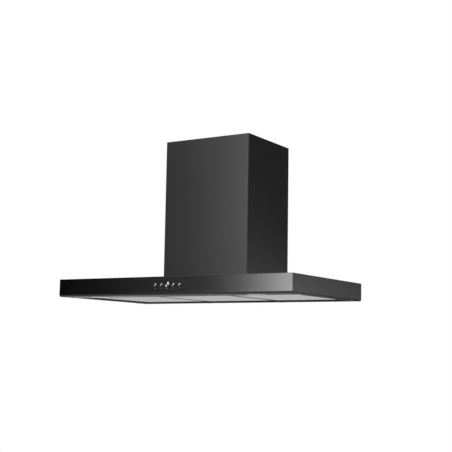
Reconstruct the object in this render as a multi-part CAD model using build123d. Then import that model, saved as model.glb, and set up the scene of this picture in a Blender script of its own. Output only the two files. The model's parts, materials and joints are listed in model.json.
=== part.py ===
from build123d import *
import os
from math import cos, radians, sin

# Wall-mounted chimney cooker hood, a T shape: a low wide canopy under a telescopic chimney.
# Units are millimetres. The wall is the plane Y = 0, the front faces -Y, and +Z is up.
# Heights are given above the underside of the canopy. On export the whole model is lowered
# so that the origin lies midway between the two wall bolts, on the wall.

# Canopy
CANOPY_W = 900.0
CANOPY_D = 500.0
CANOPY_H = 60.0
SHEET = 1.2
SKIRT_H = 5.0
RETURN_W = 10.0
GLASS_T = 4.0
GLASS_CHAMFER = 0.8
TAPE_T = 1.0
TAPE_W = 6.0
TAPE_INSET = 3.0
AIR_HOLE_W = 284.0
AIR_HOLE_FRONT = -240.0
AIR_HOLE_BACK = -24.0
WALL_BOLT_SPACING = 600.0
WALL_BOLT_H = 36.0
WALL_BOLT_R = 4.5

# Underside pan, set back a little from the skin, with a rounded bend along its front and sides
PAN_INSET = 1.0
PAN_BEND_R = 4.0
FILTER_BAY_W = 842.0
FILTER_BAY_FRONT = -418.0
FILTER_BAY_BACK = -31.0
BAY_LIP_H = 7.9
HEM_R = 1.3
HEM_H = 6.0
PAN_SCREW_IN = 7.5
PAN_SIDE_SCREW_Y = (-440.0, -60.0)
PAN_MID_SCREW_X = 150.0

# Grease filters, three side by side, hung on the rear hem and latched over the front lip
FILTER_PITCH = 280.0
FILTER_W = 277.0
FILTER_FRONT = -416.0
FILTER_BACK = -34.0
FILTER_T = 12.0
FILTER_LIFT = 5.0
FILTER_SHEET = 1.0
FILTER_BORDER = 12.0
FILTER_FRONT_BORDER = 34.0
MESH_PLEATS = 11
MESH_T = 1.2
MESH_GAP = 0.1
TAB_W = 26.0
TAB_T = 1.2
TAB_REACH = 12.0
TAB_X = 95.0
TAB_CLEAR = 0.2
LATCH_W = 46.0
LATCH_D = 26.0
LATCH_TRAVEL = 6.0
LATCH_WALL = 2.0
PULL_W = 22.0
PULL_D = 5.0
PULL_LIFT = 0.5
FINGER_W = 30.0
FINGER_SPARE = 5.0
FINGER_WALL = 3.0
BOLT_W = 16.0
BOLT_T = 2.6
BOLT_REACH = 6.0
BOLT_CLEAR = 0.3
BOLT_CHAMFER = 1.2

# Lamps in the front strip of the pan
LAMP_X = 305.0
LAMP_Y = -456.0
LAMP_BEZEL_R = 33.0
LAMP_LENS_R = 25.0
LAMP_PROUD = 1.5
LENS_T = 1.0
LENS_GAP = 0.1
LAMP_BODY_W = 34.0
LAMP_BODY_H = 22.0
LAMP_BODY_GAP = 0.3
FIN_COUNT = 3
FIN_T = 2.0

# Push buttons: four small ones and a large one in the middle
BUTTON_PITCH = 23.5
BUTTON_H = 33.0
BUTTON_R = 4.5
POWER_R = 8.0
BUTTON_PROUD = 2.5
BUTTON_TRAVEL = 2.0
BUTTON_GAP = 0.3
CAP_BEHIND_GLASS = 0.6
CAP_CLEAR = 0.9
STEM_W = 4.0
STEM_DEPTH = 10.0
SWITCH_W = 126.0
SWITCH_D = 20.0
SWITCH_H = 24.0
SWITCH_WINDOW_W = 122.0
SWITCH_WINDOW_H = 22.0
EAR_W = 14.0
EAR_H = 18.0
EAR_T = 6.0
EAR_ROOT = 1.0

# Chimney, outer lower cover and the inner cover that slides up out of it
CHIMNEY_W = 335.0
CHIMNEY_D = 285.0
CHIMNEY_TOP = 553.0
CHIMNEY_SHEET = 1.0
CHIMNEY_RETURN = 14.0
CHIMNEY_BEND_R = 2.0
FOOT_X = 120.0
FOOT_W = 24.0
FOOT_D = 10.0
UPPER_SHEET = 0.8
UPPER_GAP = 0.5
UPPER_BOTTOM = 64.0
UPPER_TOP = 551.0
VENT_COUNT = 7
VENT_L = 120.0
VENT_W = 5.0
VENT_PITCH = 11.0
VENT_DROP = 30.0
BRACKET_T = 2.0
BRACKET_LOW = 508.0
BRACKET_HIGH = 545.0
BRACKET_HOLE_X = 100.0
BRACKET_HOLE_R = 3.0
BRACKET_STEP_GAP = 4.0
BRACKET_STEP_Y = -8.0
BRACKET_FRONT = -70.0
BRACKET_SCREW_Y = -45.0

# Motor box on top of the canopy, with the blower inside
BOX_W = 300.0
BOX_FRONT = -250.0
BOX_BACK = -12.0
BOX_TOP = 320.0
BOX_SHEET = 1.0
BOX_FLANGE = 12.0
BOX_REAR_FLANGE = 6.0
BOX_SCREW_Y = (-220.0, -40.0)
GLAND_X = 112.0
GLAND_Y = -215.0
GLAND_BORE_R = 4.5
GLAND_SEAT_R = 12.0
GLAND_SEAT_H = 6.0
GLAND_NUT_R = 9.0
GLAND_H = 16.0

# Blower scroll: three tangent arcs that open out from the tongue to the outlet neck
WHEEL_Y = -142.5
WHEEL_Z = 170.0
VOLUTE_R = 88.0
VOLUTE_STEP = 12.0
SCROLL_HALF_W = 72.0
SCROLL_WALL = 2.5
TONGUE_R = 6.0
INLET_R = 62.0
OUTLET_RIM = 12.0
OUTLET_RIM_T = 3.0

# Fan wheel and motor
WHEEL_R = 78.0
WHEEL_HALF_W = 62.0
BLADE_COUNT = 15
BLADE_ROOT_R = 63.0
BLADE_TIP_R = 75.0
BLADE_SWEEP = 11.0
BLADE_HOOK = 3.0
BLADE_T = 1.5
RIM_W = 5.0
RIM_T = 3.0
HUB_R = 13.0
HUB_L = 20.0
SHAFT_R = 4.0
SHAFT_GAP = 0.05
SHAFT_END = 6.0
MOTOR_R = 42.0
MOTOR_SIDES = 12
MOTOR_INNER_X = -14.0
MOTOR_OUTER_X = -88.0
SPIDER_R = 30.0
SPIDER_HOLE_R = 9.0
ARM_ANGLES = (30, 150, 270)
ARM_REACH = 80.0
ARM_W = 14.0
ARM_T = 2.0

# Outlet collar with two damper flaps
COLLAR_Y = -100.0
COLLAR_R = 75.0
COLLAR_WALL = 2.5
COLLAR_TOP = 368.0
COLLAR_BASE_W = 176.0
COLLAR_BASE_T = 2.5
OUTLET_SCREW_IN = 8.0
SEAT_H = 333.0
SEAT_W = 6.0
SEAT_L = 12.0
SEAT_T = 3.0
DAMPER_PIN_R = 1.5
DAMPER_PIN_GAP = 0.05
DAMPER_PIN_Y = 4.5
DAMPER_PIN_H = 337.5
DAMPER_T = 1.6
DAMPER_GAP = 1.5
DAMPER_LIFT = 0.4
KNUCKLE_R = 3.0
KNUCKLE_X = (-30.0, 30.0)

# Terminal box under the roof of the canopy
CONTROL_X = (-400.0, -250.0)
CONTROL_Y = (-130.0, -50.0)
CONTROL_LOW = 26.0
CONTROL_WALL = 2.0
LID_T = 2.0
LID_PLUG_H = 5.0
LID_PLUG_GAP = 0.5

# Self-tapping screws with hexagon heads and three-sided shanks
HEAD_H = 1.5
HEAD_W = 6.0
SCREW_L = 6.0
SCREW_BITE = 2.0

# Sides that share one shape
SIDES = {"left": -1, "right": 1}
FILTERS = {"left": -1, "centre": 0, "right": 1}
BUTTONS = {
    "light": (-2, BUTTON_R),
    "low": (-1, BUTTON_R),
    "power": (0, POWER_R),
    "medium": (1, BUTTON_R),
    "high": (2, BUTTON_R),
}

# Planes and places worked out from the dimensions above, and CUT, the length by which a
# cutting shape runs past the face that it cuts
CUT = 1.0
SKIN_FRONT = -(CANOPY_D - GLASS_T - TAPE_T)
GLASS_BACK = -(CANOPY_D - GLASS_T)
SKIN_BACK_FACE = SKIN_FRONT + SHEET
NECK_TOP = BOX_TOP - BOX_SHEET - WHEEL_Z
LOW = Align.MIN
MID = Align.CENTER


def slab(x, y, z):
    """A block between two limits on each axis."""
    size = [high - low for low, high in (x, y, z)]
    middle = [(low + high) / 2 for low, high in (x, y, z)]
    return Pos(*middle) * Box(*size)


def rod_x(radius, x, y, z):
    """A cylinder along X between two limits."""
    middle = (x[0] + x[1]) / 2
    return Pos(middle, y, z) * Rot(0, 90, 0) * Cylinder(radius, x[1] - x[0])


def rod_y(radius, x, y, z):
    """A cylinder along Y between two limits."""
    middle = (y[0] + y[1]) / 2
    return Pos(x, middle, z) * Rot(90, 0, 0) * Cylinder(radius, y[1] - y[0])


def rod_z(radius, x, y, z):
    """A cylinder along Z between two limits."""
    return Pos(x, y, z[0]) * Cylinder(radius, z[1] - z[0], align=(MID, MID, LOW))


def frame_plate(outer, hole, z):
    """A flat plate with a window, both given as X and Y limits."""
    height = (z[0] - CUT, z[1] + CUT)
    return slab(*outer, z) - slab(*hole, height)


def folded(points, sheet, z):
    """Sheet folded along a plan line, with the thickness on the left of the line."""
    outline = Polyline(*points).wire().offset_2d(sheet, side=Side.LEFT, kind=Kind.INTERSECTION, closed=True)
    return Pos(0, 0, z[0]) * extrude(make_face(outline), z[1] - z[0])


def screws(places, turn=Rot(0, 0, 0), length=SCREW_L):
    """Equal hexagon-headed screws that point down before they are turned, one solid each."""
    head = extrude(RegularPolygon(HEAD_W / 2, 6, major_radius=False), HEAD_H)
    shank = extrude(RegularPolygon(HEAD_W / 4, 3), -length)
    one = turn * (head + shank)
    return Compound(children=[Pos(*place) * one for place in places])


# Canopy
def canopy_body():
    """Folded steel skin, open below, with an inward return that carries the pan."""
    depth = -SKIN_FRONT
    skin = slab((-CANOPY_W / 2, CANOPY_W / 2), (-depth, 0), (SKIRT_H, CANOPY_H))
    below = skin.faces().sort_by(Axis.Z)[0]
    body = offset(skin, amount=-SHEET, openings=below)
    half = CANOPY_W / 2 - SHEET / 2
    body += frame_plate(
        ((-half, half), (SKIN_FRONT + SHEET / 2, -SHEET / 2)),
        (
            (-half + RETURN_W, half - RETURN_W),
            (SKIN_FRONT + RETURN_W, -RETURN_W),
        ),
        (SKIRT_H, SKIRT_H + SHEET),
    )
    body -= slab(
        (-AIR_HOLE_W / 2, AIR_HOLE_W / 2),
        (AIR_HOLE_FRONT, AIR_HOLE_BACK),
        (CANOPY_H - 2 * SHEET, CANOPY_H + SHEET),
    )
    window = Pos(0, BUTTON_H) * Rectangle(SWITCH_WINDOW_W, SWITCH_WINDOW_H)
    body -= extrude(Plane.XZ.offset(-SKIN_FRONT - 2 * SHEET) * window, 4 * SHEET)
    for side in SIDES.values():
        x = side * WALL_BOLT_SPACING / 2
        body -= rod_y(WALL_BOLT_R, x, (-3 * SHEET, SHEET), WALL_BOLT_H)
    return body


def front_glass():
    """Black glass front with a hole for each button and ground edges."""
    height = CANOPY_H - SKIRT_H
    pane = Pos(0, SKIRT_H + height / 2) * Rectangle(CANOPY_W, height)
    for place, radius in BUTTONS.values():
        pane -= Pos(place * BUTTON_PITCH, BUTTON_H) * Circle(radius + BUTTON_GAP)
    glass = extrude(Plane.XZ.offset(-GLASS_BACK) * pane, GLASS_T)
    face = glass.faces().sort_by(Axis.Y)[0]
    return chamfer(face.outer_wire().edges(), GLASS_CHAMFER)


def glass_tape():
    """Two strips of bonding tape between the glass and the skin."""
    span = (-CANOPY_W / 2 + TAPE_INSET, CANOPY_W / 2 - TAPE_INSET)
    lows = (SKIRT_H + TAPE_INSET, CANOPY_H - TAPE_W - TAPE_INSET)
    strips = [slab(span, (GLASS_BACK, SKIN_FRONT), (z, z + TAPE_W)) for z in lows]
    return Compound(children=strips)


# Underside
PAN_X = CANOPY_W / 2 - PAN_INSET
PAN_FRONT = -(CANOPY_D - PAN_INSET)
PAN_SCREW_X = CANOPY_W / 2 - PAN_SCREW_IN
PAN_SCREW_Y = (SKIN_FRONT + PAN_SCREW_IN, -PAN_SCREW_IN)
PAN_SCREWS = [(side * PAN_SCREW_X, y, 0) for side in SIDES.values() for y in PAN_SIDE_SCREW_Y]
PAN_SCREWS += [(side * PAN_MID_SCREW_X, y, 0) for side in SIDES.values() for y in PAN_SCREW_Y]


def bottom_pan():
    """Pressed pan: front strip with lamp holes, rims, and the lipped bay for the filters."""
    tray = slab((-PAN_X, PAN_X), (PAN_FRONT, -PAN_INSET), (0, SKIRT_H))
    below = tray.faces().sort_by(Axis.Z)[0]
    tray = fillet(below.edges().sort_by(Axis.Y)[:-1], PAN_BEND_R)
    pan = offset(tray, amount=-SHEET, openings=tray.faces().sort_by(Axis.Z)[-1])
    half = FILTER_BAY_W / 2
    bay = ((-half, half), (FILTER_BAY_FRONT, FILTER_BAY_BACK))
    around = tuple((low - SHEET, high + SHEET) for low, high in bay)
    pan -= slab(*bay, (-CUT, SKIRT_H + CUT))
    pan += frame_plate(around, bay, (SHEET / 2, BAY_LIP_H))
    behind = (FILTER_BAY_BACK - HEM_R, 0)
    pan -= slab((-half - 2 * SHEET, half + 2 * SHEET), behind, (HEM_H, BAY_LIP_H + CUT))
    pan += rod_x(HEM_R, (-half, half), FILTER_BAY_BACK + SHEET / 2, HEM_H)
    opening = LAMP_BODY_W / 2 + LAMP_BODY_GAP
    for side in SIDES.values():
        x = side * LAMP_X
        across = (x - opening, x + opening)
        pan -= slab(across, (LAMP_Y - opening, LAMP_Y + opening), (-CUT, SKIRT_H))
    return pan


def pan_screws():
    """Self-tapping screws up through the pan into the return of the skin."""
    return screws(PAN_SCREWS, Rot(180, 0, 0), length=SKIRT_H + SHEET + SCREW_BITE)


# Lamps
def pair_of_lamps(piece):
    """The same lamp piece at both lamp places."""
    return Compound(children=[Pos(side * LAMP_X, LAMP_Y, 0) * piece for side in SIDES.values()])


def lamp_bezels():
    """Flat trim rings under the pan."""
    ring = rod_z(LAMP_BEZEL_R, 0, 0, (-LAMP_PROUD, 0))
    return pair_of_lamps(ring - rod_z(LAMP_LENS_R, 0, 0, (-LAMP_PROUD - CUT, CUT)))


def lamp_lenses():
    """Frosted lens discs inside the trim rings."""
    return pair_of_lamps(rod_z(LAMP_LENS_R - LENS_GAP, 0, 0, (-LENS_T, 0)))


def lamp_modules():
    """Light modules: a square body through the pan with a finned heat sink on its back."""
    half = LAMP_BODY_W / 2
    body = slab((-half, half), (-half, half), (0, LAMP_BODY_H))
    pitch = (LAMP_BODY_W - FIN_T) / (FIN_COUNT - 1)
    for index in range(FIN_COUNT - 1):
        left = index * pitch + FIN_T - half
        body -= slab((left, left + pitch - FIN_T), (-half, half), (LAMP_BODY_H / 2, LAMP_BODY_H))
    return pair_of_lamps(body)


# Buttons and switch block
CAP_BACK = GLASS_BACK + CAP_BEHIND_GLASS
SWITCH_FRONT = CAP_BACK + BUTTON_TRAVEL + CAP_CLEAR
STEM_END = SWITCH_FRONT + STEM_DEPTH


def button(place, radius):
    """Round metal cap with a square stem that runs in the switch block."""
    cap = rod_y(radius, 0, (-CANOPY_D - BUTTON_PROUD, CAP_BACK), 0)
    half = STEM_W / 2
    cap += slab((-half, half), (CAP_BACK, STEM_END), (-half, half))
    return Pos(place * BUTTON_PITCH, 0, BUTTON_H) * cap


def switch_block():
    """Moulded switch bank with a square guide for each stem and an ear at each end."""
    half = SWITCH_W / 2
    tall = (BUTTON_H - SWITCH_H / 2, BUTTON_H + SWITCH_H / 2)
    block = slab((-half, half), (SWITCH_FRONT, SWITCH_FRONT + SWITCH_D), tall)
    ears = Pos(0, BUTTON_H) * Rectangle(SWITCH_W + 2 * EAR_W, EAR_H)
    ears -= Pos(0, BUTTON_H) * Rectangle(SWITCH_W - 2 * EAR_ROOT, SWITCH_H)
    block += extrude(Plane.XZ.offset(-SKIN_BACK_FACE) * ears, -EAR_T)
    guide = STEM_W / 2 + BUTTON_GAP
    tall = (BUTTON_H - guide, BUTTON_H + guide)
    for place, _ in BUTTONS.values():
        x = place * BUTTON_PITCH
        depth = (SWITCH_FRONT - CUT, STEM_END + BUTTON_TRAVEL + CAP_CLEAR)
        block -= slab((x - guide, x + guide), depth, tall)
    return block


def switch_screws():
    """Two screws through the ears of the switch block into the skin."""
    x = (SWITCH_W + EAR_W) / 2
    y = SKIN_BACK_FACE + EAR_T
    return screws([(-x, y, BUTTON_H), (x, y, BUTTON_H)], Rot(-90, 0, 0), EAR_T + SHEET)


# Grease filters
TAB_LOW = HEM_H + HEM_R + TAB_CLEAR
BOLT_LOW = BAY_LIP_H + BOLT_CLEAR
FILTER_HIGH = FILTER_LIFT + FILTER_T
LATCH_BACK = FILTER_FRONT + FILTER_SHEET + LATCH_D
FINGER_D = PULL_D + LATCH_TRAVEL + FINGER_SPARE
FINGER_Y = LATCH_BACK - FINGER_D / 2 - FINGER_WALL


def filter_frame(place):
    """Rolled channel frame with rear tabs, a bolt slot and a finger opening at the front."""
    half = FILTER_W / 2
    across = (-half, half)
    along = (FILTER_FRONT, FILTER_BACK)
    frame = slab(across, along, (FILTER_LIFT, FILTER_HIGH))
    inside = [(low + FILTER_SHEET, high - FILTER_SHEET) for low, high in (across, along)]
    frame -= slab(*inside, (FILTER_LIFT + FILTER_SHEET, FILTER_HIGH - FILTER_SHEET))
    window = (
        (-half + FILTER_BORDER, half - FILTER_BORDER),
        (FILTER_FRONT + FILTER_FRONT_BORDER, FILTER_BACK - FILTER_BORDER),
    )
    frame -= slab(*window, (FILTER_LIFT - CUT, FILTER_HIGH + CUT))
    front = (FILTER_FRONT - CUT, FILTER_FRONT + 2 * FILTER_SHEET)
    slot = BOLT_W / 2 + BOLT_CLEAR
    frame -= slab((-slot, slot), front, (BOLT_LOW - BOLT_CLEAR, BOLT_LOW + BOLT_T + BOLT_CLEAR))
    finger = Pos(0, FINGER_Y) * Rectangle(FINGER_W, FINGER_D)
    frame -= Pos(0, 0, FILTER_LIFT - CUT) * extrude(finger, CUT + 1.5 * FILTER_SHEET)
    root = FILTER_SHEET / 2
    for x in (-TAB_X, TAB_X):
        tab = Pos(x, FILTER_BACK + (TAB_REACH - root) / 2) * Rectangle(TAB_W, TAB_REACH + root)
        frame += Pos(0, 0, TAB_LOW) * extrude(tab, TAB_T)
    return Pos(place * FILTER_PITCH, 0, 0) * frame


def filter_mesh(place):
    """Pleated mesh pack that fills the channel of the frame behind the latch."""
    inset = FILTER_SHEET + MESH_GAP
    half = FILTER_W / 2 - inset
    heights = (FILTER_LIFT + inset, FILTER_HIGH - inset - MESH_T)
    step = half / MESH_PLEATS
    fold = [(index * step - half, heights[index % 2]) for index in range(2 * MESH_PLEATS + 1)]
    other_face = [(x, z + MESH_T) for x, z in reversed(fold)]
    section = make_face(Polyline(*fold, *other_face, close=True))
    rear = FILTER_BACK - inset
    pack = extrude(Plane.XZ.offset(-rear) * section, rear - LATCH_BACK - FILTER_SHEET)
    return Pos(place * FILTER_PITCH, 0, 0) * pack


def latch_case(place):
    """Moulded case of the latch, with a finger well below and a guide for the bolt."""
    half = LATCH_W / 2
    low = FILTER_LIFT + FILTER_SHEET
    front = FILTER_FRONT + FILTER_SHEET
    case = slab((-half, half), (front, LATCH_BACK), (low, FILTER_HIGH - FILTER_SHEET))
    guide = BOLT_W / 2 + BOLT_CLEAR
    high = BOLT_LOW + BOLT_T + BOLT_CLEAR
    case -= slab((-guide, guide), (front - CUT, LATCH_BACK - LATCH_WALL), (BOLT_LOW - BOLT_CLEAR, high))
    well = Pos(0, FINGER_Y) * Rectangle(FINGER_W, FINGER_D)
    case -= Pos(0, 0, low - CUT) * extrude(well, high - low + CUT)
    return Pos(place * FILTER_PITCH, 0, 0) * case


def latch(place):
    """Sliding bolt with a pull that hangs in the finger well."""
    half = BOLT_W / 2
    tip = FILTER_FRONT - BOLT_REACH
    pull_front = FINGER_Y - FINGER_D / 2 + BOLT_CLEAR
    along = (pull_front, pull_front + PULL_D)
    bolt = slab((-half, half), (tip, along[1]), (BOLT_LOW, BOLT_LOW + BOLT_T))
    bolt = chamfer(bolt.edges().filter_by(Axis.X).sort_by(Axis.Y)[:1], BOLT_CHAMFER)
    pull = slab((-PULL_W / 2, PULL_W / 2), along, (FILTER_LIFT + PULL_LIFT, BOLT_LOW + BOLT_T))
    return Pos(place * FILTER_PITCH, 0, 0) * (bolt + pull)


# Chimney
def cover(half_w, front, back, sheet, z):
    """Three-sided folded cover with inward returns along the wall."""
    points = [
        (-half_w + CHIMNEY_RETURN, back),
        (-half_w, back),
        (-half_w, front),
        (half_w, front),
        (half_w, back),
        (half_w - CHIMNEY_RETURN, back),
    ]
    return folded(points, sheet, z)


def chimney_lower():
    """Outer chimney cover with two inward feet on the top of the canopy."""
    z = (CANOPY_H, CHIMNEY_TOP)
    sleeve = cover(CHIMNEY_W / 2, -CHIMNEY_D, 0, CHIMNEY_SHEET, z)
    inner = sleeve.edges().filter_by(Axis.Z).group_by(Axis.Y)[1]
    sleeve = fillet(inner, CHIMNEY_BEND_R - CHIMNEY_SHEET)
    outer = sleeve.edges().filter_by(Axis.Z).group_by(Axis.Y)[0]
    sleeve = fillet(outer, CHIMNEY_BEND_R)
    front = -CHIMNEY_D + CHIMNEY_SHEET / 2
    for side in SIDES.values():
        x = side * FOOT_X
        width = (x - FOOT_W / 2, x + FOOT_W / 2)
        sleeve += slab(width, (front, front + FOOT_D), (CANOPY_H, CANOPY_H + CHIMNEY_SHEET))
    return sleeve


def chimney_screws():
    """Two screws that come up through the top of the canopy into the feet of the chimney."""
    y = -CHIMNEY_D + (CHIMNEY_SHEET + FOOT_D) / 2
    z = CANOPY_H - SHEET
    places = [(side * FOOT_X, y, z) for side in SIDES.values()]
    return screws(places, Rot(180, 0, 0), SHEET + SCREW_BITE)


UPPER_X = CHIMNEY_W / 2 - CHIMNEY_SHEET - UPPER_GAP
UPPER_FRONT = -CHIMNEY_D + CHIMNEY_SHEET + UPPER_GAP
UPPER_BACK = -CHIMNEY_SHEET - UPPER_GAP


def chimney_upper():
    """Inner chimney cover, pushed down at rest, with a row of vents high on each side."""
    z = (UPPER_BOTTOM, UPPER_TOP)
    sleeve = cover(UPPER_X, UPPER_FRONT, UPPER_BACK, UPPER_SHEET, z)
    middle = (UPPER_FRONT + UPPER_BACK) / 2
    vent = Plane.YZ * (Pos(middle, 0) * Rectangle(VENT_L, VENT_W))
    cut = extrude(vent, CHIMNEY_W / 2, both=True)
    for index in range(VENT_COUNT):
        sleeve -= Pos(0, 0, UPPER_TOP - VENT_DROP - index * VENT_PITCH) * cut
    return sleeve


BRACKET_X = UPPER_X - UPPER_SHEET
BRACKET_STEP_X = UPPER_X - CHIMNEY_RETURN - BRACKET_STEP_GAP
BRACKET_MIDDLE = (BRACKET_LOW + BRACKET_HIGH) / 2


def chimney_bracket():
    """Wall bracket of the inner chimney: flat on the wall, then stepped out to its sides."""
    points = [
        (-BRACKET_X, BRACKET_FRONT),
        (-BRACKET_X, BRACKET_STEP_Y),
        (-BRACKET_STEP_X, BRACKET_STEP_Y),
        (-BRACKET_STEP_X, 0),
        (BRACKET_STEP_X, 0),
        (BRACKET_STEP_X, BRACKET_STEP_Y),
        (BRACKET_X, BRACKET_STEP_Y),
        (BRACKET_X, BRACKET_FRONT),
    ]
    strap = folded(points[::-1], BRACKET_T, (BRACKET_LOW, BRACKET_HIGH))
    for side in SIDES.values():
        through = (-2 * BRACKET_T, CUT)
        strap -= rod_y(BRACKET_HOLE_R, side * BRACKET_HOLE_X, through, BRACKET_MIDDLE)
    return strap


def bracket_screws():
    """Screws from the inside of the bracket into the sides of the inner chimney."""
    x = BRACKET_X - BRACKET_T
    both = []
    for side in SIDES.values():
        place = (side * x, BRACKET_SCREW_Y, BRACKET_MIDDLE)
        both += screws([place], Rot(0, -90 * side, 0), BRACKET_T + UPPER_SHEET).solids()
    return Compound(children=both)


# Motor box
BOX_X = BOX_W / 2
MOUTH_X = SCROLL_HALF_W - SCROLL_WALL
MOUTH_Y = (WHEEL_Y, WHEEL_Y + VOLUTE_R + 3 * VOLUTE_STEP)


def motor_box():
    """Deep-drawn steel box, open below, with an outlet hole and a flange on the canopy."""
    outer = slab((-BOX_X, BOX_X), (BOX_FRONT, BOX_BACK), (CANOPY_H, BOX_TOP))
    box = offset(outer, amount=-BOX_SHEET, openings=outer.faces().sort_by(Axis.Z)[0])
    edge = BOX_SHEET / 2
    rim = frame_plate(
        ((-BOX_X - BOX_FLANGE, BOX_X + BOX_FLANGE), (BOX_FRONT - BOX_FLANGE, BOX_BACK + BOX_REAR_FLANGE)),
        ((-BOX_X + edge, BOX_X - edge), (BOX_FRONT + edge, BOX_BACK - edge)),
        (CANOPY_H, CANOPY_H + BOX_SHEET),
    )
    box += rim
    through = (BOX_TOP - 2 * BOX_SHEET, BOX_TOP + CUT)
    box -= slab((-MOUTH_X, MOUTH_X), MOUTH_Y, through)
    box -= rod_z(GLAND_BORE_R, GLAND_X, GLAND_Y, through)
    return box


def motor_box_screws():
    """Screws through the flange of the motor box into the top of the canopy."""
    x = BOX_X + BOX_FLANGE / 2
    z = CANOPY_H + BOX_SHEET
    return screws([(side * x, y, z) for side in SIDES.values() for y in BOX_SCREW_Y])


def cable_gland():
    """Cable inlet: a hexagon seat with a hexagon nut on the top of the box."""
    gland = extrude(RegularPolygon(GLAND_SEAT_R, 6), GLAND_SEAT_H)
    gland += extrude(RegularPolygon(GLAND_NUT_R, 6), GLAND_H)
    gland -= rod_z(GLAND_BORE_R, 0, 0, (-CUT, GLAND_H + CUT))
    return Pos(GLAND_X, GLAND_Y, BOX_TOP) * gland


# Blower
def volute():
    """Air space of the scroll, seen along X: three growing arcs and the outlet neck."""
    first = VOLUTE_R
    second = VOLUTE_R + VOLUTE_STEP
    third = VOLUTE_R + 2 * VOLUTE_STEP
    far = VOLUTE_STEP + third
    arcs = [
        CenterArc((0, 0), first, 90, 90),
        CenterArc((VOLUTE_STEP, 0), second, 180, 90),
        CenterArc((VOLUTE_STEP, VOLUTE_STEP), third, 270, 90),
    ]
    neck = Polyline((far, VOLUTE_STEP), (far, NECK_TOP), (0, NECK_TOP), (0, first))
    space = make_face(Curve() + [*arcs, neck])
    tongue = space.vertices().sort_by_distance((0, first, 0))[0]
    return fillet(tongue, TONGUE_R)


WHEEL_PLANE = Plane((0, WHEEL_Y, WHEEL_Z), x_dir=(0, 1, 0), z_dir=(1, 0, 0))


def scroll_half():
    """Right half of the moulded scroll, open at the seam, with a round inlet."""
    air = volute()
    wall = offset(air, amount=SCROLL_WALL, kind=Kind.INTERSECTION)
    shell = extrude(WHEEL_PLANE * wall, SCROLL_HALF_W)
    shell -= extrude(WHEEL_PLANE * air, SCROLL_HALF_W - SCROLL_WALL)
    top = WHEEL_Z + NECK_TOP
    around = (MOUTH_Y[0] - OUTLET_RIM, MOUTH_Y[1] + SCROLL_WALL)
    shell -= slab((-CUT, SCROLL_HALF_W + CUT), around, (top, top + 3 * SCROLL_WALL))
    shell += frame_plate(
        ((0, SCROLL_HALF_W + OUTLET_RIM), around),
        ((-CUT, MOUTH_X), MOUTH_Y),
        (top - OUTLET_RIM_T, top),
    )
    shell -= extrude(WHEEL_PLANE * Circle(INLET_R), 2 * SCROLL_HALF_W)
    return shell


def impeller():
    """Double-inlet fan wheel: forward-curved blades on a middle disc between two rim rings."""
    middle_r = (BLADE_ROOT_R + BLADE_TIP_R) / 2
    bends = [(BLADE_ROOT_R, 0), (middle_r, BLADE_HOOK), (BLADE_TIP_R, BLADE_SWEEP)]
    line = [(r * cos(radians(turn)), r * sin(radians(turn))) for r, turn in bends]
    back = [(y, z + BLADE_T) for y, z in reversed(line)]
    section = make_face(Polyline(*line, *back, close=True))
    blade = extrude(WHEEL_PLANE * section, WHEEL_HALF_W - RIM_T, both=True)
    axle = Axis((0, WHEEL_Y, WHEEL_Z), (1, 0, 0))
    blades = [blade.rotate(axle, 360 / BLADE_COUNT * index) for index in range(BLADE_COUNT)]
    edge = RegularPolygon(WHEEL_R, BLADE_COUNT)
    disc = extrude(WHEEL_PLANE * edge, BLADE_T, both=True)
    rim = edge - RegularPolygon(WHEEL_R - RIM_W, BLADE_COUNT)
    rings = [
        extrude(WHEEL_PLANE.offset(WHEEL_HALF_W - RIM_T) * rim, RIM_T),
        extrude(WHEEL_PLANE.offset(-WHEEL_HALF_W) * rim, RIM_T),
    ]
    hub = extrude(WHEEL_PLANE * RegularPolygon(HUB_R, 6), HUB_L)
    wheel = disc + [*blades, *rings, hub]
    return wheel - rod_x(SHAFT_R, (-2 * BLADE_T, HUB_L + CUT), WHEEL_Y, WHEEL_Z)


def motor_shaft():
    """Steel shaft through the motor and the hub of the wheel."""
    return rod_x(SHAFT_R, (MOTOR_OUTER_X - SHAFT_END, HUB_L + SHAFT_END), WHEEL_Y, WHEEL_Z)


def motor_housing():
    """Motor: a many-sided stack of laminations with a bore for the shaft."""
    long = (MOTOR_OUTER_X, MOTOR_INNER_X)
    sides = RegularPolygon(MOTOR_R, MOTOR_SIDES)
    stack = extrude(WHEEL_PLANE.offset(MOTOR_OUTER_X) * sides, MOTOR_INNER_X - MOTOR_OUTER_X)
    return stack - rod_x(SHAFT_R + SHAFT_GAP, long, WHEEL_Y, WHEEL_Z)


LEG_FACE = -SCROLL_HALF_W


def bracket_feet():
    """Places of the three feet of the motor bracket, as Y and Z."""
    turns = [radians(angle) for angle in ARM_ANGLES]
    return [(WHEEL_Y + ARM_REACH * cos(turn), WHEEL_Z + ARM_REACH * sin(turn)) for turn in turns]


def motor_bracket():
    """Three-armed spider that carries the motor in the left inlet of the scroll."""
    reach = ARM_REACH + ARM_W / 2
    plate = RegularPolygon(SPIDER_R, 6)
    for angle in ARM_ANGLES:
        plate += Rot(0, 0, angle) * (Pos(reach / 2, 0) * Rectangle(reach, ARM_W))
    plate -= RegularPolygon(SPIDER_HOLE_R, 6)
    back = WHEEL_PLANE.offset(MOTOR_OUTER_X)
    spider = extrude(back * plate, -ARM_T)
    leg = Pos(ARM_REACH, 0) * Rectangle(ARM_W, ARM_W)
    for angle in ARM_ANGLES:
        spider += extrude(back * (Rot(0, 0, angle) * leg), LEG_FACE - MOTOR_OUTER_X)
    return spider


def motor_screws():
    """Screws through the feet of the motor bracket into the side of the scroll."""
    head = MOTOR_OUTER_X - ARM_T
    places = [(head, y, z) for y, z in bracket_feet()]
    return screws(places, Rot(0, -90, 0), length=LEG_FACE + SCREW_BITE - head)


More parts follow.
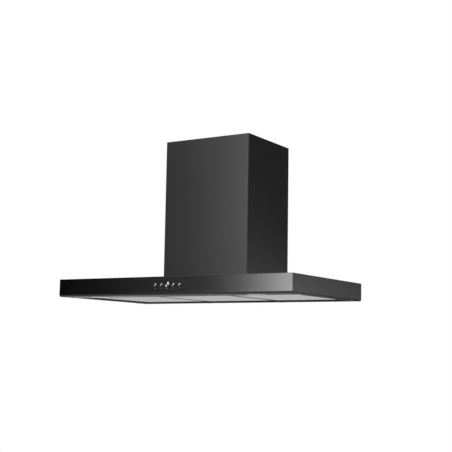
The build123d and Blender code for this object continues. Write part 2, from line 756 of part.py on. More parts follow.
# Outlet collar and damper
OUTLET_SCREW_X = COLLAR_BASE_W / 2 - OUTLET_SCREW_IN
OUTLET_SCREW_Y = (COLLAR_Y - OUTLET_SCREW_X, COLLAR_Y + OUTLET_SCREW_X)


def outlet_collar():
    """Round duct spigot on a square base, with a ledge inside for each flap to rest on."""
    base = Pos(0, COLLAR_Y) * Rectangle(COLLAR_BASE_W, COLLAR_BASE_W)
    collar = Pos(0, 0, BOX_TOP) * extrude(base, COLLAR_BASE_T)
    inner = COLLAR_R - COLLAR_WALL
    collar += rod_z(COLLAR_R, 0, COLLAR_Y, (BOX_TOP, COLLAR_TOP))
    collar -= rod_z(inner, 0, COLLAR_Y, (BOX_TOP - CUT, COLLAR_TOP + CUT))
    ledges = (SEAT_H - SEAT_T, SEAT_H)
    within_wall = rod_z(COLLAR_R - COLLAR_WALL / 2, 0, COLLAR_Y, ledges)
    for side in SIDES.values():
        edge = sorted((COLLAR_Y + side * (inner - SEAT_W), COLLAR_Y + side * COLLAR_R))
        collar += slab((-SEAT_L / 2, SEAT_L / 2), edge, ledges) & within_wall
    return collar


def outlet_screws():
    """Screws through the collar's base, the motor box and the rim of the scroll."""
    z = BOX_TOP + COLLAR_BASE_T
    places = [(x, y, z) for x in (-OUTLET_SCREW_X, OUTLET_SCREW_X) for y in OUTLET_SCREW_Y]
    return screws(places)


def damper_pins():
    """Two hinge pins across the collar."""
    reach = COLLAR_R - COLLAR_WALL / 2
    sides = (-DAMPER_PIN_Y, DAMPER_PIN_Y)
    pins = [rod_x(DAMPER_PIN_R, (-reach, reach), COLLAR_Y + y, DAMPER_PIN_H) for y in sides]
    return Compound(children=pins)


def damper_flap(side):
    """Half-round flap with a hinge knuckle, lying on the seat of the collar."""
    radius = COLLAR_R - COLLAR_WALL - DAMPER_GAP
    beyond_pin = Pos(0, side * (DAMPER_PIN_Y + radius / 2)) * Rectangle(2 * radius, radius)
    low = SEAT_H + DAMPER_LIFT
    flap = Pos(0, COLLAR_Y, low) * extrude(Circle(radius) & beyond_pin, DAMPER_T)
    pin_y = COLLAR_Y + side * DAMPER_PIN_Y
    knuckle = (pin_y - KNUCKLE_R, pin_y + KNUCKLE_R)
    flap += slab(KNUCKLE_X, knuckle, (low, DAMPER_PIN_H + KNUCKLE_R))
    between = DAMPER_PIN_R + DAMPER_PIN_GAP
    return flap - rod_x(between, (-COLLAR_R, COLLAR_R), pin_y, DAMPER_PIN_H)


# Electrics in the canopy
def control_box():
    """Moulded terminal box under the roof of the canopy, open below."""
    outer = slab(CONTROL_X, CONTROL_Y, (CONTROL_LOW + LID_T, CANOPY_H - SHEET))
    return offset(outer, amount=-CONTROL_WALL, openings=outer.faces().sort_by(Axis.Z)[0])


def control_lid():
    """Lid of the terminal box, with a raised panel that locates inside the walls."""
    wide = CONTROL_X[1] - CONTROL_X[0]
    deep = CONTROL_Y[1] - CONTROL_Y[0]
    centre = Pos(sum(CONTROL_X) / 2, sum(CONTROL_Y) / 2, CONTROL_LOW)
    inset = 2 * (CONTROL_WALL + LID_PLUG_GAP)
    plate = extrude(Rectangle(wide, deep), LID_T)
    plug = extrude(Rectangle(wide - inset, deep - inset), LID_PLUG_H)
    return centre * (plate + plug)


def build():
    """Every node of the hood by name, with heights above the underside."""
    right_scroll = scroll_half()
    nodes = {
        "canopy_body": canopy_body(),
        "front_glass": front_glass(),
        "glass_tape": glass_tape(),
        "bottom_pan": bottom_pan(),
        "pan_screws": pan_screws(),
        "lamp_bezels": lamp_bezels(),
        "lamp_lenses": lamp_lenses(),
        "lamp_modules": lamp_modules(),
        "switch_block": switch_block(),
        "switch_screws": switch_screws(),
        "chimney_lower": chimney_lower(),
        "chimney_screws": chimney_screws(),
        "chimney_upper": chimney_upper(),
        "chimney_bracket": chimney_bracket(),
        "bracket_screws": bracket_screws(),
        "motor_box": motor_box(),
        "motor_box_screws": motor_box_screws(),
        "cable_gland": cable_gland(),
        "scroll_right": right_scroll,
        "scroll_left": mirror(right_scroll, Plane.YZ),
        "impeller": impeller(),
        "motor_shaft": motor_shaft(),
        "motor_housing": motor_housing(),
        "motor_bracket": motor_bracket(),
        "motor_screws": motor_screws(),
        "outlet_collar": outlet_collar(),
        "outlet_screws": outlet_screws(),
        "damper_pins": damper_pins(),
        "damper_flap_front": damper_flap(-1),
        "damper_flap_rear": damper_flap(1),
        "control_box": control_box(),
        "control_lid": control_lid(),
    }
    for name, place in FILTERS.items():
        nodes[f"filter_{name}_frame"] = filter_frame(place)
        nodes[f"filter_{name}_mesh"] = filter_mesh(place)
        nodes[f"filter_{name}_latch_case"] = latch_case(place)
        nodes[f"filter_{name}_latch"] = latch(place)
    for name, (place, radius) in BUTTONS.items():
        nodes[f"button_{name}"] = button(place, radius)
    return nodes


def main():
    os.makedirs("parts", exist_ok=True)
    to_wall_bolts = Pos(0, 0, -WALL_BOLT_H)
    for name, shape in build().items():
        export_step(to_wall_bolts * shape, f"parts/{name}.step")


main()
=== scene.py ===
# %% [markdown]
# A black wall hood, dressed for its portrait.
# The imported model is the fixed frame: folded sheet, glass, filters and blower all lie where they
# belong, in metres, with the wall at Y = 0, the room towards -Y and +Z up. The hood could be modelled
# again from nothing, but every piece would then have to be fitted to the mechanism by eye. So this
# lesson keeps the frame as it is, gives every surface a finish, and models by hand only the small
# pieces that catch the eye: domed buttons, printed signs, filter mesh, lamp rings and screw heads.

# %% Load the frame
import json
import math

import bmesh
import bpy
from mathutils import Matrix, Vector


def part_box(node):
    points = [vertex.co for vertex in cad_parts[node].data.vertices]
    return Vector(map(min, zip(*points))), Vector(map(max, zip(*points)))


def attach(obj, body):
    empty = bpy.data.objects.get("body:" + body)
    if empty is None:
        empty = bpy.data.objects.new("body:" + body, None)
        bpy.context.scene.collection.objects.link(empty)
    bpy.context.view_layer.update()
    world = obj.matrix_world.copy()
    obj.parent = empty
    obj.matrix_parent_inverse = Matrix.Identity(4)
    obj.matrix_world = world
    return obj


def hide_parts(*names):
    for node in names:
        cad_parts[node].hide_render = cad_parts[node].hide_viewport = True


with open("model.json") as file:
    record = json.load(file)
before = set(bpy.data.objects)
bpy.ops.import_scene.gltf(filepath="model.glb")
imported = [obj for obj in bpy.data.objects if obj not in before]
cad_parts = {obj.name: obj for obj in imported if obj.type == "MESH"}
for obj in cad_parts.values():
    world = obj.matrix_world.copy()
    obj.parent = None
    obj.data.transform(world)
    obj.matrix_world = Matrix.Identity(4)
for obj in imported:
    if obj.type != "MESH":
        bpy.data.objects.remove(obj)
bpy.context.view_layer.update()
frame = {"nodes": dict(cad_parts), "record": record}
bpy.ops.object.select_all(action="DESELECT")
MM = 0.001

# %% [markdown]
# Paint, glass, metal and plastic differ in a few plain numbers, such as how metallic they are and how
# strongly they mirror. Nodes could give those numbers, but one that is the same all over is better
# typed into the socket of the Principled shader, where an export finds it. Greys get a trace of blue,
# because a perfectly even grey looks brownish beside white.

# %% A shader with plain values
BLUE_TRACE = 1.01


def grey(level):
    """A grey with a trace of blue."""
    return (level, level, level * BLUE_TRACE)


def new_finish(name, **sockets):
    """A material with one Principled shader whose plain values are set on its sockets."""
    finish = bpy.data.materials.new(name)
    finish.use_nodes = True
    shader = finish.node_tree.nodes["Principled BSDF"]
    for socket, value in sockets.items():
        shader.inputs[socket.replace("_", " ")].default_value = value
    return finish


print("mid grey:", grey(0.5))

# %% [markdown]
# No real surface is quite even: paint drifts in gloss, rolled metal has streaks, moulded plastic a fine
# grain. Pictures could show that, but they need unwrapping and have no scale. Noise on Object
# coordinates stays put on the piece and has a real size, given here in millimetres. It then moves the
# colour, the roughness or the height of the surface. Most values of a noise lie in the middle of its
# range, so that middle is what gets spread.

# %% Grain
GRAIN_SPAN = (0.3, 0.7)
EVEN = (1, 1, 1)


def noise(finish, size_mm, detail=4.0, stretch=EVEN):
    """Noise on Object coordinates, with a grain of this size and a stretch along each axis."""
    nodes, links = finish.node_tree.nodes, finish.node_tree.links
    place = nodes.new("ShaderNodeTexCoord")
    turn = nodes.new("ShaderNodeMapping")
    turn.inputs["Scale"].default_value = stretch
    grain = nodes.new("ShaderNodeTexNoise")
    grain.inputs["Scale"].default_value = 1 / (size_mm * MM)
    grain.inputs["Detail"].default_value = detail
    links.new(place.outputs["Object"], turn.inputs["Vector"])
    links.new(turn.outputs["Vector"], grain.inputs["Vector"])
    return grain.outputs["Fac"]


def tint(finish, factor, dark, light, span=GRAIN_SPAN):
    """Let a grain move the colour between two shades, over this span of its values."""
    nodes, links = finish.node_tree.nodes, finish.node_tree.links
    ramp = nodes.new("ShaderNodeValToRGB")
    for point, place, shade in zip(ramp.color_ramp.elements, span, (dark, light)):
        point.position = place
        point.color = (*shade, 1)
    links.new(factor, ramp.inputs["Fac"])
    links.new(ramp.outputs["Color"], nodes["Principled BSDF"].inputs["Base Color"])


def roughen(finish, factor, middle, drift):
    """Let a grain move the roughness to both sides of a middle value."""
    nodes, links = finish.node_tree.nodes, finish.node_tree.links
    spread = nodes.new("ShaderNodeMapRange")
    spread.inputs["From Min"].default_value = GRAIN_SPAN[0]
    spread.inputs["From Max"].default_value = GRAIN_SPAN[1]
    spread.inputs["To Min"].default_value = middle - drift
    spread.inputs["To Max"].default_value = middle + drift
    links.new(factor, spread.inputs["Value"])
    links.new(spread.outputs["Result"], nodes["Principled BSDF"].inputs["Roughness"])


def emboss(finish, factor, height_mm, strength):
    """Let a grain raise and lower the surface by this height."""
    nodes, links = finish.node_tree.nodes, finish.node_tree.links
    bump = nodes.new("ShaderNodeBump")
    bump.inputs["Strength"].default_value = strength
    bump.inputs["Distance"].default_value = height_mm * MM
    links.new(factor, bump.inputs["Height"])
    links.new(bump.outputs["Normal"], nodes["Principled BSDF"].inputs["Normal"])


print("grain spread between", *GRAIN_SPAN)

# %% [markdown]
# The chimney and the canopy are powder-coated steel: satin black, with a faint orange peel a millimetre
# or two across. To displace the mesh for so fine a relief would cost millions of faces, so a weak bump
# does it, and slow drifts of shade and gloss keep the large sheets alive. The drift of the satin coat
# stays below a roughness of about 0.27, because a drift across that value left faint patches in the
# denoised picture. The underside pan has a drier coat.

# %% Powder coat
COAT_SHADES = (grey(0.0065), grey(0.0075))
ORANGE_PEEL_MM = 1.4
PEEL_HEIGHT_MM = 0.01


def powder_coat(name, roughness, specular):
    """Black powder coat: slow drifts of shade and gloss, and a fine orange peel."""
    coat = new_finish(name, Specular_IOR_Level=specular)
    tint(coat, noise(coat, size_mm=150, detail=1), *COAT_SHADES)
    roughen(coat, noise(coat, size_mm=120, detail=1), roughness, drift=0.008)
    emboss(coat, noise(coat, ORANGE_PEEL_MM, detail=2), PEEL_HEIGHT_MM, strength=0.06)
    return coat


black_paint = powder_coat("satin_black_powder_coat", roughness=0.26, specular=0.5)
pan_paint = powder_coat("dry_black_powder_coat", roughness=0.4, specular=0.3)
print("made", black_paint.name, "and", pan_paint.name)

# %% [markdown]
# The front is black glass, far smoother than the paint, so it mirrors the studio. It could be built as
# clear glass over a black print, but only the outer mirror shows, so a near-black body with the
# refraction of glass is enough. Wiping leaves faint streaks along its length, which show only as a
# little roughness.

# %% Black glass
WIPE_STREAKS = (0.2, 1, 1)

black_glass = new_finish("black_front_glass", IOR=1.52)
tint(black_glass, noise(black_glass, size_mm=80), grey(0.0008), grey(0.0014))
roughen(black_glass, noise(black_glass, size_mm=30, stretch=WIPE_STREAKS), middle=0.08, drift=0.03)
print("made", black_glass.name)

# %% [markdown]
# Rolled and ground metals carry fine streaks the way they were worked, as along the filter frames, while
# plated and cast ones are grained evenly. An anisotropic shader could give a brushed look, but streaks of
# roughness with a slight bump read better on pieces this small. One function makes all these metals from
# a shade, a roughness and a grain.

# %% Rolled, plated and cast metals
FRAME_STREAKS = (0.08, 1, 1)
SHAFT_STREAKS = (0.2, 1, 1)
DULLER = 0.9


def grained_metal(name, shade, roughness, grain_mm, stretch=EVEN, bump_mm=0.01):
    """Bare metal with a grain that moves its roughness and height together."""
    metal = new_finish(name, Metallic=1.0)
    tint(metal, noise(metal, size_mm=30), grey(shade * DULLER), grey(shade))
    grain = noise(metal, grain_mm, stretch=stretch)
    roughen(metal, grain, roughness, drift=0.08)
    emboss(metal, grain, bump_mm, strength=0.3)
    return metal


lamp_trim = grained_metal("satin_lamp_trim", shade=0.5, roughness=0.3, grain_mm=1.5)
filter_metal = grained_metal(
    "rolled_filter_aluminium", shade=0.5, roughness=0.2, grain_mm=2.0, stretch=FRAME_STREAKS
)
mesh_metal = grained_metal("expanded_filter_mesh", shade=0.55, roughness=0.42, grain_mm=3.0)
pack_metal = grained_metal("inner_filter_layers", shade=0.45, roughness=0.5, grain_mm=1.2, bump_mm=0.3)
zinc_steel = grained_metal("zinc_plated_steel", shade=0.55, roughness=0.4, grain_mm=2.5)
shaft_steel = grained_metal(
    "ground_shaft_steel", shade=0.5, roughness=0.28, grain_mm=0.6, stretch=SHAFT_STREAKS
)
bare_aluminium = grained_metal("cast_aluminium", shade=0.6, roughness=0.48, grain_mm=1.5, bump_mm=0.03)
print("made trim, frame, mesh, layers, zinc, shaft and cast metal")

# %% [markdown]
# The motor box is galvanised sheet, whose zinc has set in flat crystals a few millimetres across, each
# with its own brightness. Noise would blur into clouds, but the cells of a Voronoi texture have the
# right shape: the red of each cell's chance colour gives its shade, and the green its roughness.

# %% Galvanised sheet
CRYSTAL_MM = 6

galvanised = new_finish("galvanised_sheet", Metallic=1.0)
nodes, links = galvanised.node_tree.nodes, galvanised.node_tree.links
place = nodes.new("ShaderNodeTexCoord")
crystals = nodes.new("ShaderNodeTexVoronoi")
crystals.inputs["Scale"].default_value = 1 / (CRYSTAL_MM * MM)
chance = nodes.new("ShaderNodeSeparateColor")
links.new(place.outputs["Object"], crystals.inputs["Vector"])
links.new(crystals.outputs["Color"], chance.inputs["Color"])
tint(galvanised, chance.outputs["Red"], grey(0.46), grey(0.58))
roughen(galvanised, chance.outputs["Green"], middle=0.42, drift=0.06)
print("made", galvanised.name)

# %% [markdown]
# The face of each button was turned on a lathe, and the fine rings that the tool left gather the light
# in two bright wedges. An anisotropic shader could show them, but an export loses it, so the wedges are
# a painted highlight instead: the base colour is bright where the rings cross one line over the face at a
# right angle and near black where they run along it. That depends only on the place on the piece, so the
# painted highlight stays put whatever the view.

# %% Turned chrome with a painted highlight
HIGHLIGHT_WEDGE_LINE = (0.7, 0, 0.7)
HIGHLIGHT_WEDGE_SPAN = (0.15, 0.85)

chrome = new_finish("turned_button_chrome", Metallic=1.0)
nodes, links = chrome.node_tree.nodes, chrome.node_tree.links
rings = nodes.new("ShaderNodeTangent")
rings.direction_type = "RADIAL"
rings.axis = "Y"
across = nodes.new("ShaderNodeVectorMath")
across.operation = "DOT_PRODUCT"
across.inputs[1].default_value = HIGHLIGHT_WEDGE_LINE
either_way = nodes.new("ShaderNodeMath")
either_way.operation = "ABSOLUTE"
links.new(rings.outputs["Tangent"], across.inputs[0])
links.new(across.outputs["Value"], either_way.inputs[0])
# Painted highlight: a bright base colour in two wedges of the face, near black between them.
tint(chrome, either_way.outputs["Value"], grey(0.8), grey(0.03), span=HIGHLIGHT_WEDGE_SPAN)
roughen(chrome, noise(chrome, size_mm=2), middle=0.25, drift=0.04)
print("made", chrome.name)

# %% [markdown]
# The blower, the damper, the switch block and the latches are moulded plastic, with the fine
# spark-eroded grain of their moulds: bumps about half a millimetre across, far too many to model, so
# they are a bump too. With other numbers the same function gives the foam tape behind the glass, the
# opal lenses of the lamps and the pale ink of the signs.

# %% Plastics and ink
MOULD_GRAIN_MM = 0.6
MOULD_GRAIN_HEIGHT_MM = 0.02
FADED = 0.85


def moulded_plastic(name, shade, roughness):
    """Plastic with a slow drift of shade and gloss and the grain of its mould."""
    plastic = new_finish(name)
    tint(plastic, noise(plastic, size_mm=20), grey(shade * FADED), grey(shade))
    roughen(plastic, noise(plastic, size_mm=6), roughness, drift=0.06)
    emboss(plastic, noise(plastic, MOULD_GRAIN_MM, detail=2), MOULD_GRAIN_HEIGHT_MM, strength=0.5)
    return plastic


black_plastic = moulded_plastic("moulded_black_plastic", shade=0.025, roughness=0.55)
grey_plastic = moulded_plastic("moulded_grey_plastic", shade=0.16, roughness=0.5)
foam_tape = moulded_plastic("black_foam_tape", shade=0.02, roughness=0.9)
opal_lens = moulded_plastic("opal_lamp_lens", shade=0.7, roughness=0.32)
sign_ink = moulded_plastic("pale_mark_ink", shade=0.5, roughness=0.6)
print("made black, grey and opal plastic, tape and ink")

# %% [markdown]
# Now the nodes of the frame take their finishes. Each could be named here one by one, but the record
# already says which slot every node belongs to, so a finish for each slot is enough. Only the pan
# departs from its slot, because its paint is the drier one.

# %% Dress the nodes
FINISH_OF_SLOT = {
    "black_paint": black_paint,
    "black_glass": black_glass,
    "tape": foam_tape,
    "zinc_steel": zinc_steel,
    "galvanised_steel": galvanised,
    "lamp_trim": lamp_trim,
    "lamp_lens": opal_lens,
    "heat_sink": bare_aluminium,
    "shaft_steel": shaft_steel,
    "black_plastic": black_plastic,
    "wheel_plastic": grey_plastic,
    "filter_aluminium": filter_metal,
    "mesh_aluminium": pack_metal,
    "latch_plastic": grey_plastic,
    "button_chrome": chrome,
}

for row in frame["record"]["subparts"]:
    piece = frame["nodes"][row["node"]]
    piece.data.materials.clear()
    piece.data.materials.append(FINISH_OF_SLOT[row["material_slot"]])
frame["nodes"]["bottom_pan"].data.materials[0] = pan_paint

# %% [markdown]
# A press brake never leaves a knife edge: the folds of the canopy and the pan have a small radius, which
# catches a line of light. The meshes of the frame must stay as they are, so the radius comes from live
# modifiers. Their triangles are loose, so a Weld joins them first, and then a Bevel rounds the edges
# that are sharper than the angle given.

# %% Bend radius of the folded sheets
FOLDED_NODES = ("canopy_body", "bottom_pan")
BEND_WIDTH = 0.4 * MM
WELD_GAP = 0.005 * MM
SHARP_FOLD = math.radians(50)

for node in FOLDED_NODES:
    weld = frame["nodes"][node].modifiers.new("Weld", "WELD")
    weld.merge_threshold = WELD_GAP
    bend = frame["nodes"][node].modifiers.new("Bend", "BEVEL")
    bend.width = BEND_WIDTH
    bend.segments = 2
    bend.limit_method = "ANGLE"
    bend.angle_limit = SHARP_FOLD
print("rounded the folds of", *FOLDED_NODES)

# %% [markdown]
# The small pieces come next, made with the operators that you would click by hand. An operator acts on
# whatever is selected, so each piece starts from an empty selection, and faces are picked by where they
# lie and which way they look. Vertices and faces could be listed in code instead, but that would hide
# how a shape comes about. A finished piece has its place baked into its mesh, as the nodes have.

# %% Tools for modelling
def start(add, stretch=EVEN, **settings):
    """Add one primitive with nothing else selected, stretch it, and bake its place into the mesh."""
    bpy.ops.object.select_all(action="DESELECT")
    add(**settings)
    bpy.context.object.scale = stretch
    bpy.ops.object.transform_apply(location=True, rotation=True, scale=True)
    return bpy.context.object


def pick(test):
    """In edit mode, select just the faces whose centre and normal pass the test."""
    mesh = bmesh.from_edit_mesh(bpy.context.object.data)
    bpy.ops.mesh.select_mode(type="FACE")
    bpy.ops.mesh.select_all(action="DESELECT")
    for face in mesh.faces:
        face.select_set(bool(test(face.calc_center_median(), face.normal)))
    bmesh.update_edit_mesh(bpy.context.object.data)


def use_modifier(piece, kind, **settings):
    """Add a modifier with these settings and apply it."""
    bpy.context.view_layer.objects.active = piece
    modifier = piece.modifiers.new(kind.title(), kind)
    for key, value in settings.items():
        setattr(modifier, key, value)
    bpy.ops.object.modifier_apply(modifier=modifier.name)


def round_edges(piece, width, segments, sharp=35):
    """Bevel the edges that are sharper than an angle in degrees, and shade the piece smooth."""
    limit = math.radians(sharp)
    use_modifier(piece, "BEVEL", width=width, segments=segments, limit_method="ANGLE", angle_limit=limit)
    bpy.ops.object.shade_smooth_by_angle(angle=limit)


def hand_over(piece, name, body, slot, finish, *nodes):
    """Name a finished piece, give it its finish, and let it ride in place of these CAD nodes."""
    piece.name = name
    piece.data.materials.clear()
    piece.data.materials.append(finish)
    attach(piece, body)
    if nodes:
        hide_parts(*nodes)
    print(name, len(piece.data.polygons), "faces")


print("tools ready, nothing selected:", not bpy.context.selected_objects)

# %% [markdown]
# The push buttons have a straight side, a soft edge and a face so slightly domed that it only bends the
# reflections. A sphere cut flat would bulge too much, so each button starts as a cylinder. Its front
# face is inset in three steps, each raised a little less than the last, and its back face is inset to
# the width of the stem and drawn out.

# %% Buttons
BUTTON_NODES = [f"button_{use}" for use in ("light", "low", "power", "medium", "high")]
FACING_ROOM = (math.pi / 2, 0, 0)
SQUARE_ON = 0.9
CAP_LENGTH = 7.1 * MM
CAP_SIDES = 64
CAP_EDGE = 0.25 * MM
DOME_STEPS = ((0.10, 0.04 * MM), (0.25, 0.03 * MM), (0.35, 0.02 * MM))
STEM_R = 2.0 * MM


def domed_button(node):
    """A button in place of its node, with a domed cap and a stem."""
    low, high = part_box(node)
    middle = (low + high) / 2
    radius = (high.x - low.x) / 2
    dome = sum(rise for _, rise in DOME_STEPS)
    side = CAP_LENGTH - dome
    cap = start(
        bpy.ops.mesh.primitive_cylinder_add,
        vertices=CAP_SIDES,
        radius=radius,
        depth=side,
        location=(middle.x, low.y + dome + side / 2, middle.z),
        rotation=FACING_ROOM,
    )
    bpy.ops.object.mode_set(mode="EDIT")
    pick(lambda centre, normal: normal.y < -SQUARE_ON)
    for share, rise in DOME_STEPS:
        bpy.ops.mesh.inset(thickness=radius * share, depth=rise)
    pick(lambda centre, normal: normal.y > SQUARE_ON)
    bpy.ops.mesh.inset(thickness=radius - STEM_R)
    stem = high.y - low.y - CAP_LENGTH
    bpy.ops.mesh.extrude_region_move(TRANSFORM_OT_translate={"value": (0, stem, 0)})
    bpy.ops.object.mode_set(mode="OBJECT")
    round_edges(cap, CAP_EDGE, segments=2, sharp=40)
    hand_over(cap, node + "_cap", node, "button_chrome", chrome, node)


for node in BUTTON_NODES:
    domed_button(node)

# %% [markdown]
# Under each button a small sign is printed on the glass: a lamp, the power sign and plain numbers for
# the fan. A picture would need a file, so each sign is a flat mesh that lies just on the glass. A ring
# is a filled circle whose middle is inset and deleted, and the gap of the power sign is left by deleting
# the faces at its top as well. A number is a text object, made a mesh.

# %% Shapes of the signs
INK_T = 0.03 * MM
INK_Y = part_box("front_glass")[0].y - INK_T
RING_SIDES = 40
NUMBER_SIZE = 6.5 * MM


def ring_sign(x, z, radius, width, gap=0.0):
    """A flat ring facing the room, open at the top over this half angle."""
    ring = start(
        bpy.ops.mesh.primitive_circle_add,
        vertices=RING_SIDES,
        radius=radius,
        fill_type="NGON",
        location=(x, INK_Y, z),
        rotation=FACING_ROOM,
    )
    bpy.ops.object.mode_set(mode="EDIT")
    pick(lambda centre, normal: True)
    bpy.ops.mesh.inset(thickness=width)
    bpy.ops.mesh.delete(type="FACE")
    pick(lambda centre, normal: abs(math.atan2(centre.x - x, centre.z - z)) < gap)
    bpy.ops.mesh.delete(type="FACE")
    bpy.ops.object.mode_set(mode="OBJECT")
    return ring


def bar_sign(x, z, width, height, turn=0.0):
    """A flat bar facing the room, turned about its own middle."""
    return start(
        bpy.ops.mesh.primitive_plane_add,
        size=1,
        location=(x, INK_Y, z),
        rotation=(math.pi / 2, turn, 0),
        stretch=(width, height, 1),
    )


def number_sign(x, z, digit):
    """A plain number, made a mesh and laid flat on the glass."""
    bpy.ops.object.select_all(action="DESELECT")
    bpy.ops.object.text_add(location=(x, INK_Y, z), rotation=FACING_ROOM)
    text = bpy.context.object
    text.data.body = digit
    text.data.size = NUMBER_SIZE
    text.data.align_x = "CENTER"
    text.data.align_y = "CENTER"
    bpy.ops.object.convert(target="MESH")
    bpy.ops.object.transform_apply(location=True, rotation=True, scale=True)
    return bpy.context.object


print("ink lies at y =", round(INK_Y, 5))

# %% [markdown]
# The signs sit a fixed drop below the middles of their buttons. The lamp is a small ring with eight
# rays, and the power sign an open ring with a bar. They could stay five pieces, but one print is one
# piece: they are joined and given the thickness of the ink in one go, and they ride with the hood, while
# the buttons above them move.

# %% Printed signs
SIGN_DROP = 11.5 * MM
LINE = 0.5 * MM
LAMP_SIGN_R = 1.3 * MM
RAYS = 8
RAY_REACH = 2.1 * MM
RAY_W = 0.4 * MM
RAY_L = 1.0 * MM
POWER_SIGN_R = 2.0 * MM
POWER_GAP = 0.6
POWER_BAR_L = 2.0 * MM
POWER_BAR_RISE = 1.4 * MM
FAN_NUMBERS = {"button_low": "1", "button_medium": "2", "button_high": "3"}


def sign_place(node):
    """The middle of the sign that belongs to a button, as x and z."""
    low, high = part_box(node)
    return (low.x + high.x) / 2, (low.z + high.z) / 2 - SIGN_DROP


def joined(pieces):
    """Several pieces as one, with its place baked in."""
    bpy.ops.object.select_all(action="DESELECT")
    for piece in pieces:
        piece.select_set(True)
    bpy.context.view_layer.objects.active = pieces[0]
    bpy.ops.object.join()
    bpy.ops.object.transform_apply(location=True, rotation=True, scale=True)
    return bpy.context.object


x, z = sign_place("button_light")
signs = [ring_sign(x, z, LAMP_SIGN_R, LINE)]
for ray in range(RAYS):
    turn = ray * 2 * math.pi / RAYS
    ray_x = x + RAY_REACH * math.sin(turn)
    ray_z = z + RAY_REACH * math.cos(turn)
    signs.append(bar_sign(ray_x, ray_z, RAY_W, RAY_L, turn))
x, z = sign_place("button_power")
signs.append(ring_sign(x, z, POWER_SIGN_R, LINE, gap=POWER_GAP))
signs.append(bar_sign(x, z + POWER_BAR_RISE, LINE, POWER_BAR_L))
for node, digit in FAN_NUMBERS.items():
    signs.append(number_sign(*sign_place(node), digit))
ink = joined(signs)
use_modifier(ink, "SOLIDIFY", thickness=INK_T, offset=-1)
hand_over(ink, "button_marks", "hood", "button_chrome", sign_ink)

# %% [markdown]
# The filters are packs of expanded aluminium, and their outer layers are what shows: a sheet of small
# diamonds below, and another above, which comes into view when a filter drops. A picture with holes
# would look flat from close by, so the strands are real. A fine grid is turned by 45 degrees, squeezed
# until its squares are diamonds, cut to the window of the frame by bisecting, and given strands by the
# Wireframe modifier. The inner layers stay as the pleated sheet between the two.

# %% Filter mesh
DIAMOND_W = 9.0 * MM
DIAMOND_H = 5.0 * MM
STRAND = 1.0 * MM
GRID_CELLS = 96
FILTER_BORDER = 12.0 * MM
FILTER_FRONT_BORDER = 34.0 * MM
FILTER_BACK = -34.0 * MM  # the rear edge of a frame, without its tabs


def diamond_mesh(place, side):
    """A sheet of diamonds in the window of one filter, on its lower face or on its upper back."""
    low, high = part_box(f"filter_{place}_frame")
    level = low.z + STRAND / 2 if side == "face" else high.z - STRAND / 2
    centre = ((low.x + high.x) / 2, (low.y + high.y) / 2, level)
    window = (
        ((high.x - FILTER_BORDER, 0, 0), (1, 0, 0)),
        ((low.x + FILTER_BORDER, 0, 0), (-1, 0, 0)),
        ((0, FILTER_BACK - FILTER_BORDER, 0), (0, 1, 0)),
        ((0, low.y + FILTER_FRONT_BORDER, 0), (0, -1, 0)),
    )
    sheet = start(
        bpy.ops.mesh.primitive_grid_add,
        x_subdivisions=GRID_CELLS,
        y_subdivisions=GRID_CELLS,
        size=GRID_CELLS * DIAMOND_W / math.sqrt(2),
        location=centre,
    )
    bpy.ops.object.mode_set(mode="EDIT")
    bpy.ops.mesh.select_all(action="SELECT")
    bpy.ops.transform.rotate(value=math.pi / 4, orient_axis="Z", center_override=centre)
    bpy.ops.transform.resize(value=(1, DIAMOND_H / DIAMOND_W, 1), center_override=centre)
    for on_edge, outward in window:
        bpy.ops.mesh.select_all(action="SELECT")
        bpy.ops.mesh.bisect(plane_co=on_edge, plane_no=outward, clear_outer=True)
    bpy.ops.object.mode_set(mode="OBJECT")
    use_modifier(sheet, "WIREFRAME", thickness=STRAND, use_even_offset=False, use_boundary=True)
    bpy.ops.object.mode_set(mode="EDIT")
    bpy.ops.mesh.select_all(action="SELECT")
    bpy.ops.mesh.normals_make_consistent(inside=False)
    bpy.ops.object.mode_set(mode="OBJECT")
    hand_over(sheet, f"filter_{place}_{side}", f"filter_{place}", "mesh_aluminium", mesh_metal)


for place in ("left", "centre", "right"):
    for side in ("face", "back"):
        diamond_mesh(place, side)

# %% [markdown]
# Each lamp sits in a turned ring with a rounded lip, in the front strip of the pan. A torus has no flat
# seat, so the ring starts as a disc: its two flat faces are inset and bridged into a bore, and its edges
# rounded. It is modelled once at the origin and copied to both places, which are read from the frame.

# %% Lamp rings
PAN_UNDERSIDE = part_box("bottom_pan")[0].z
LAMP_SIDES = 96
LENS_GAP = 0.1 * MM
RING_LIP = 0.7 * MM
bezels_low, bezels_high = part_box("lamp_bezels")
lenses_low, lenses_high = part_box("lamp_lenses")
RING_R = (bezels_high.y - bezels_low.y) / 2
LENS_R = (lenses_high.y - lenses_low.y) / 2
LAMP_Y = (bezels_high.y + bezels_low.y) / 2
LAMP_XS = (bezels_low.x + RING_R, bezels_high.x - RING_R)
LAMP_PLACES = [(x, LAMP_Y, PAN_UNDERSIDE) for x in LAMP_XS]


def lamp_disc(radius, thick):
    """A disc at the origin that hangs below its seat."""
    return start(
        bpy.ops.mesh.primitive_cylinder_add,
        vertices=LAMP_SIDES,
        radius=radius,
        depth=thick,
        location=(0, 0, -thick / 2),
    )


def copies(piece, places):
    """Copies of a piece at each place, every one with its own mesh, joined to one piece."""
    made = []
    for place in places:
        bpy.ops.object.select_all(action="DESELECT")
        piece.select_set(True)
        bpy.context.view_layer.objects.active = piece
        bpy.ops.object.duplicate()
        bpy.ops.transform.translate(value=place)
        made.append(bpy.context.object)
    bpy.data.objects.remove(piece)
    return joined(made)


